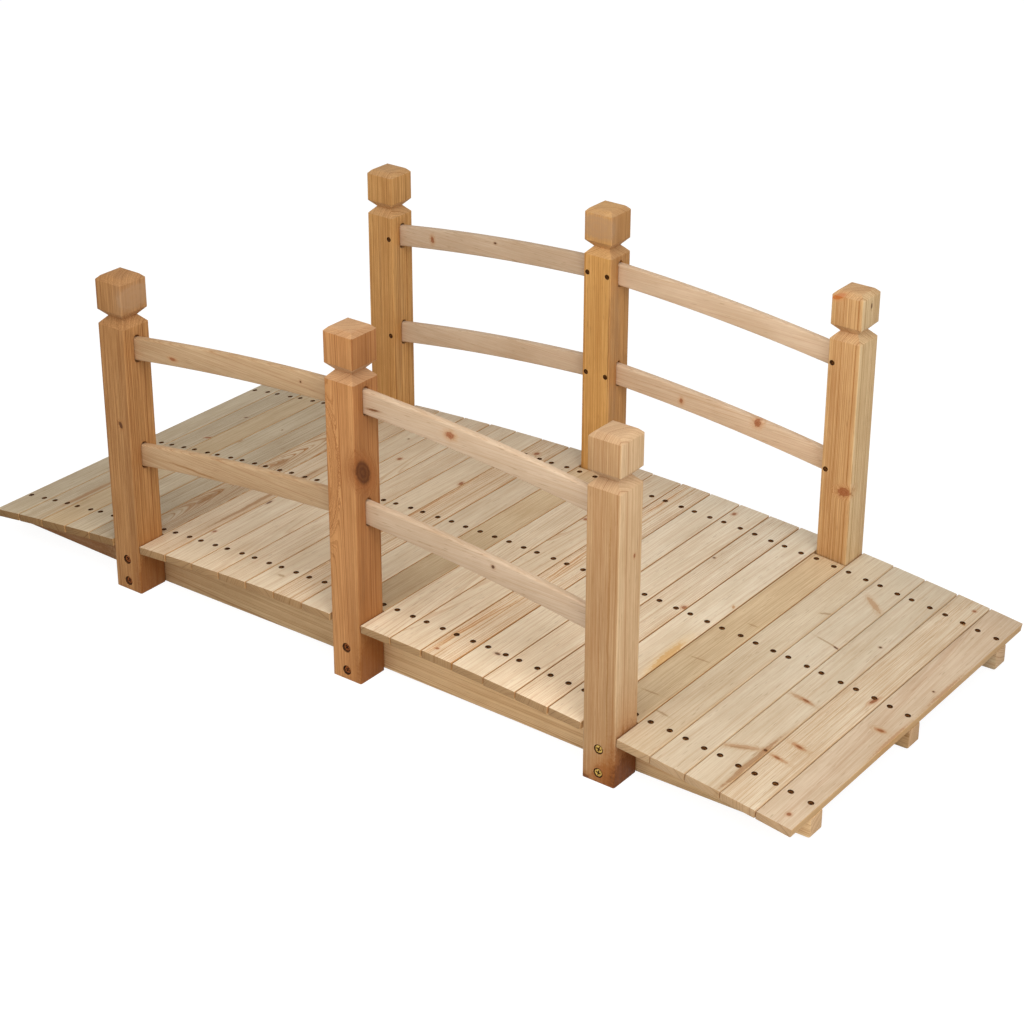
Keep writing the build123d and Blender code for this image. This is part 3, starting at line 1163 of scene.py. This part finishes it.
@dataclass
class Posts:
    """The six posts with their eased heads, rail screws and foot screws. Sizes in millimetres."""

    rail_screw: ScrewPattern
    foot_screws: dict[str, ScrewPattern]
    cards: dict[str, Look] = field(default_factory=default_posts)
    foot_heights: Pair = (15.0, 52.5)
    rail_screw_inset: float = 7.5
    rail_reach: float = 25.0
    cap_round: float = 3.0
    cap_depth: float = 0.2
    eased: float = 0.7
    ease_angle: float = 28.0

    def build(self) -> None:
        """Builds the posts one after another."""
        for node, card in self.cards.items():
            self.build_post(node, card)

    def rail_heights(self, side: str, bay: str, at: float) -> list[float]:
        """Heights of the two rails' middles where they meet a post.

        Args:
            side: Front or back.
            bay: Left or right.
            at: Place along the bridge, in metres.

        Returns:
            The heights, in metres.
        """
        heights = []
        for row in ("upper", "lower"):
            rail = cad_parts[f"rail_{side}_{bay}_{row}"].data.vertices
            close = sorted(v.co.z for v in rail if abs(v.co.x - at) < self.rail_reach * MM)
            heights.append((close[0] + close[-1]) / 2)
        return heights

    def build_post(self, node: str, card: Look) -> None:
        """Builds one post.

        Args:
            node: The post's node.
            card: Its look.
        """
        _, side, place = node.split("_")
        low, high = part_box(node)
        middle = (low + high) / 2
        half = (high.x - low.x) / 2
        post = Bench.copy_node(node, node.replace("post", "newel"))
        cap = high.z - self.cap_depth * MM
        with Bench.editing(post, "edges", lambda e: all(v.co.z > cap for v in e.verts)):
            bpy.ops.mesh.bevel(offset=self.cap_round * MM, segments=3)
        Bench.ease(post, self.eased * MM, self.ease_angle)
        seed = sum(map(ord, node))
        name = node.replace("post", "newel_fir")
        finish = FirFinish(name, Run.UPRIGHT, (middle.x, middle.y, 0.0), seed, card)
        post.data.materials.append(finish.material())
        draw = random.Random(seed)
        outward = -1.0 if side == "front" else 1.0
        inner_face, outer_face = Vector((0.0, -outward, 0.0)), Vector((0.0, outward, 0.0))
        inner_y, outer_y = middle.y - outward * half, middle.y + outward * half
        spots = []
        bays = {"left": [("left", 1.0)], "right": [("right", -1.0)]}
        bays["middle"] = [("left", -1.0), ("right", 1.0)]
        for bay, way in bays[place]:
            at = middle.x + way * (half - self.rail_screw_inset * MM)
            for height in self.rail_heights(side, bay, at):
                spots.append(facing(Vector((at, inner_y, height)), inner_face, draw.uniform(0, 90)))
        self.rail_screw.drive(post, node.replace("post", "rail_screws"), spots)
        spots = []
        for height in self.foot_heights:
            spot = Vector((middle.x, outer_y, height * MM))
            spots.append(facing(spot, outer_face, draw.uniform(0, 90)))
        self.foot_screws[node].drive(post, node.replace("post", "foot_screws"), spots)
        Bench.settle(post, Slot.POST, node)


def rail_mark(kind: Kind, along: float, above: float, long: float, tall: float, turn: float = 0.0) -> Mark:
    """A mark on a rail's broad face, from the rail's middle, with half its length and half its height."""
    return Mark(kind, (-above, 0.0, along), (tall, RAIL_MARK_DEPTH, long), turn)


def default_rails() -> dict[str, Look]:
    """The look of each rail.

    Returns:
        Node names and their looks.
    """
    r = rail_mark
    knot, pin, rose, streak, stain_and_shade = Kind.KNOT, Kind.PIN, Kind.ROSE, Kind.STREAK, Kind.STAIN_AND_SHADE
    quiet = Figure((60, 40), (0.01, 0.02), 4.0, 3.0, 0.3, 0.24)
    lined = Figure((50, 22), (0.02, 0.03), 4.0, 4.0, 0.55, 0.3)
    fawn, blush = Tone.FAWN, Tone.BLUSH
    looks = {
        "front_left_upper": (fawn, lined, (r(pin, 135, 19, 2, 2), r(rose, -118, -13, 7, 3)), 0.95),
        "front_left_lower": (fawn, lined, (r(knot, 37, -14, 5, 3), r(streak, -90, -13, 60, 1.5)), 0.95),
        "front_right_upper": (blush, quiet, (r(rose, -44, 12, 8, 6), r(stain_and_shade, -180, 12, 10, 1.4, 4)), 0.96),
        "front_right_lower": (blush, quiet, (r(pin, 29, 9, 3, 3),), 0.91),
        "back_left_upper": (blush, quiet, (r(rose, -127, -8, 4, 7), r(pin, 5, 16, 3, 2)), 0.86),
        "back_left_lower": (blush, quiet, (r(pin, -185, 16, 3, 3),), 0.89),
        "back_right_upper": (blush, quiet, (), 1.02),
        "back_right_lower": (blush, lined, (r(rose, -72, 9, 4, 5), r(rose, 70, 10, 8, 7, 25)), 1.02),
    }
    return {f"rail_{place}": Look(*look) for place, look in looks.items()}


def default_stringers() -> dict[str, Look]:
    """The look of each stringer.

    Returns:
        Node names and their looks.
    """
    # The damp mark and the fade darken the left end: partly damp wood, partly painted shade.
    damp_and_shade = Mark(Kind.SOAK_AND_SHADE, (0, 0, -690), (90, 60, 210))
    broad = Figure((48, 16), (0.01, 0.01), 5.6, 4.0, 0.55, 0.2)
    return {
        "stringer_front": Look(Tone.SAND, broad, (damp_and_shade,), fade=(0.84, 1.14, 300.0)),
        "stringer_middle": Look(Tone.WHEAT, Figure((30, 40), (0.01, 0.02), 4.0, 3.0, 0.5)),
        "stringer_back": Look(Tone.STRAW, Figure((-52, 20), (0.01, 0.01), 4.0, 3.0, 0.5)),
    }


@dataclass
class LongBoards:
    """Boards that run along the bridge: the rails or the stringers. Sizes in millimetres."""

    cards: dict[str, Look]
    slot: Slot
    names: tuple[str, str]
    eased: float
    ease_angle: float = 30.0

    def build(self) -> None:
        """Builds the boards one after another."""
        for node, card in self.cards.items():
            middle = sum(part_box(node), Vector()) / 2
            board = Bench.copy_node(node, node.replace(*self.names))
            Bench.ease(board, self.eased * MM, self.ease_angle)
            finish = FirFinish(f"{board.name}_fir", Run.ALONG, tuple(middle), sum(map(ord, node)), card)
            board.data.materials.append(finish.material())
            Bench.settle(board, self.slot, node)


# --------------------------------------------------------------------------- studio


@dataclass(frozen=True)
class Lamp:
    """A soft square light."""

    name: str
    place: Triple
    aim: Triple
    size: float
    power: float
    colour: Triple = (1.0, 0.99, 0.97)

    def build(self) -> None:
        """Hangs the lamp."""
        data = bpy.data.lights.new(self.name, "AREA")
        data.size = self.size
        data.energy = self.power
        data.color = self.colour
        lamp = bpy.data.objects.new(self.name, data)
        bpy.context.scene.collection.objects.link(lamp)
        lamp.location = self.place
        lamp.rotation_euler = (Vector(self.aim) - Vector(self.place)).to_track_quat("-Z", "Y").to_euler()


@dataclass
class Studio:
    """The pale floor, the lights and the camera."""

    lamps: tuple[Lamp, ...] = (
        Lamp("overhead_lamp", (0.9, -1.3, 2.4), (0.2, -0.1, 0.1), 1.8, 34.0),
        Lamp("right_lamp", (2.6, -1.2, 1.5), (0.3, 0.0, 0.2), 1.4, 22.0),
        Lamp("front_lamp", (-0.6, -4.5, 2.4), (0.0, 0.0, 0.2), 2.2, 28.0),
    )
    sky: Colour = (1.0, 0.99, 0.975, 1.0)
    ambient: float = 0.43
    backdrop: float = 1.0
    lift: float = 0.8
    glow: float = 1.16
    bounce: float = 0.62
    paint: float = 0.9
    floor_size: float = 60.0
    floor_drop: float = 0.3
    eye: Triple = (1.975433, -2.539086, 1.774172)
    heading: float = 35.593
    pitch: float = -24.212
    roll: float = 0.782
    focal: float = 2337.534
    axis_point: Pair = (572.929, 400.0)
    picture: float = 1024.0
    sensor: float = 36.0
    far: float = 200.0

    def build(self) -> None:
        """Sets up the whole studio."""
        self.build_world()
        self.build_floor()
        for lamp in self.lamps:
            lamp.build()
        self.build_camera()
        bpy.context.scene.view_settings.view_transform = "Standard"

    @staticmethod
    def seen(w: Wiring) -> Socket:
        """One where the surface is seen straight, in a reflection or through glass, and nought elsewhere.

        Args:
            w: The wiring of the material or world.

        Returns:
            The mask.
        """
        path = w.add("ShaderNodeLightPath").outputs
        either = w.math("MAXIMUM", path["Is Camera Ray"], path["Is Glossy Ray"])
        return w.math("MAXIMUM", either, path["Is Transmission Ray"])

    def build_world(self) -> None:
        """Makes the even white surroundings."""
        world = bpy.data.worlds.new("studio_world")
        w = Wiring.emptied(world)
        light = w.add("ShaderNodeBackground", {"Color": self.sky, "Strength": self.ambient})
        white = w.add("ShaderNodeBackground", {"Color": (1.0,) * 4, "Strength": self.backdrop})
        both = {0: self.seen(w), 1: light.outputs[0], 2: white.outputs[0]}
        w.finish("ShaderNodeMixShader", both, "ShaderNodeOutputWorld")
        bpy.context.scene.world = world

    def build_floor(self) -> None:
        """Lays the white floor, which keeps a faint shadow."""
        bpy.ops.object.select_all(action="DESELECT")
        bpy.ops.mesh.primitive_plane_add(size=self.floor_size, location=(0.0, 0.0, -self.floor_drop * MM))
        floor = bpy.context.active_object
        floor.name = "studio_floor"
        paint = bpy.data.materials.new("studio_floor_paint")
        w = Wiring.emptied(paint)
        colour = w.mix(self.seen(w), (*(self.bounce,) * 3, 1.0), (*(self.paint,) * 3, 1.0))
        matt = w.add("ShaderNodeBsdfDiffuse", {"Color": colour})
        glow = w.add("ShaderNodeEmission", {"Strength": self.glow})
        both = {0: w.times(self.seen(w), self.lift), 1: matt.outputs[0], 2: glow.outputs[0]}
        w.finish("ShaderNodeMixShader", both)
        floor.data.materials.append(paint)

    def build_camera(self) -> None:
        """Sets the camera at the photograph's viewing angle."""
        heading, pitch, roll = (math.radians(a) for a in (self.heading, self.pitch, self.roll))
        level = math.cos(pitch)
        ahead = Vector((-math.sin(heading) * level, math.cos(heading) * level, math.sin(pitch)))
        right = ahead.cross(Vector((0.0, 0.0, 1.0))).normalized()
        up = right.cross(ahead)
        turned_right = right * math.cos(roll) + up * math.sin(roll)
        turned_up = up * math.cos(roll) - right * math.sin(roll)
        data = bpy.data.cameras.new("portrait_camera")
        data.sensor_width = self.sensor
        data.lens = self.focal * self.sensor / self.picture
        data.shift_x = (self.picture / 2 - self.axis_point[0]) / self.picture
        data.shift_y = (self.axis_point[1] - self.picture / 2) / self.picture
        data.clip_end = self.far
        camera = bpy.data.objects.new("portrait_camera", data)
        bpy.context.scene.collection.objects.link(camera)
        axes = Matrix((turned_right, turned_up, -ahead)).transposed().to_4x4()
        camera.matrix_world = Matrix.Translation(self.eye) @ axes
        bpy.context.scene.camera = camera


def main() -> None:
    """Builds the bridge's sub-assemblies and the studio in order."""
    logging.basicConfig(level=logging.INFO, format="%(name)s %(message)s")
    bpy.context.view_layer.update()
    bored = BoreFinish().material()
    dark = ScrewFinish("dark_screw_steel", shade(140, 86, 36), shade(48, 28, 12), 0.5, 0.15, 0.08)
    zinc = ScrewFinish("yellow_zinc_plate", shade(214, 178, 92), shade(150, 112, 48), 0.34)
    stained = ScrewFinish("stained_screw_steel", shade(168, 94, 46), shade(104, 56, 27), 0.5, 0.12, 0.08)
    deck_screw = ScrewPattern("deck_screw", dark, Slot.DARK, 3.7, 4.2, 1.6)
    rail_screw = ScrewPattern("rail_screw", dark, Slot.DARK, 3.4, 4.0, 2.4)
    bright_foot = ScrewPattern("bright_foot_screw", zinc, Slot.ZINC, 6.2, 7.0, 0.8, 2.4, 24)
    dull_foot = ScrewPattern("dull_foot_screw", stained, Slot.DARK, 5.8, 7.0, 2.0, 2.4, 24)
    patterns = (deck_screw, rail_screw, bright_foot, dull_foot)
    for pattern in patterns:
        pattern.build(bored)
    feet = {node: dull_foot for node in default_posts()}
    feet["post_front_right"] = bright_foot
    feet["post_back_right"] = bright_foot
    LongBoards(default_stringers(), Slot.STRINGER, ("stringer", "arched_bearer"), 1.4).build()
    Posts(rail_screw, feet).build()
    LongBoards(default_rails(), Slot.RAIL, ("rail", "side_rail"), 0.8).build()
    Deck(deck_screw).build()
    for pattern in patterns:
        pattern.put_away()
    Studio().build()


if __name__ == "__main__":
    main()
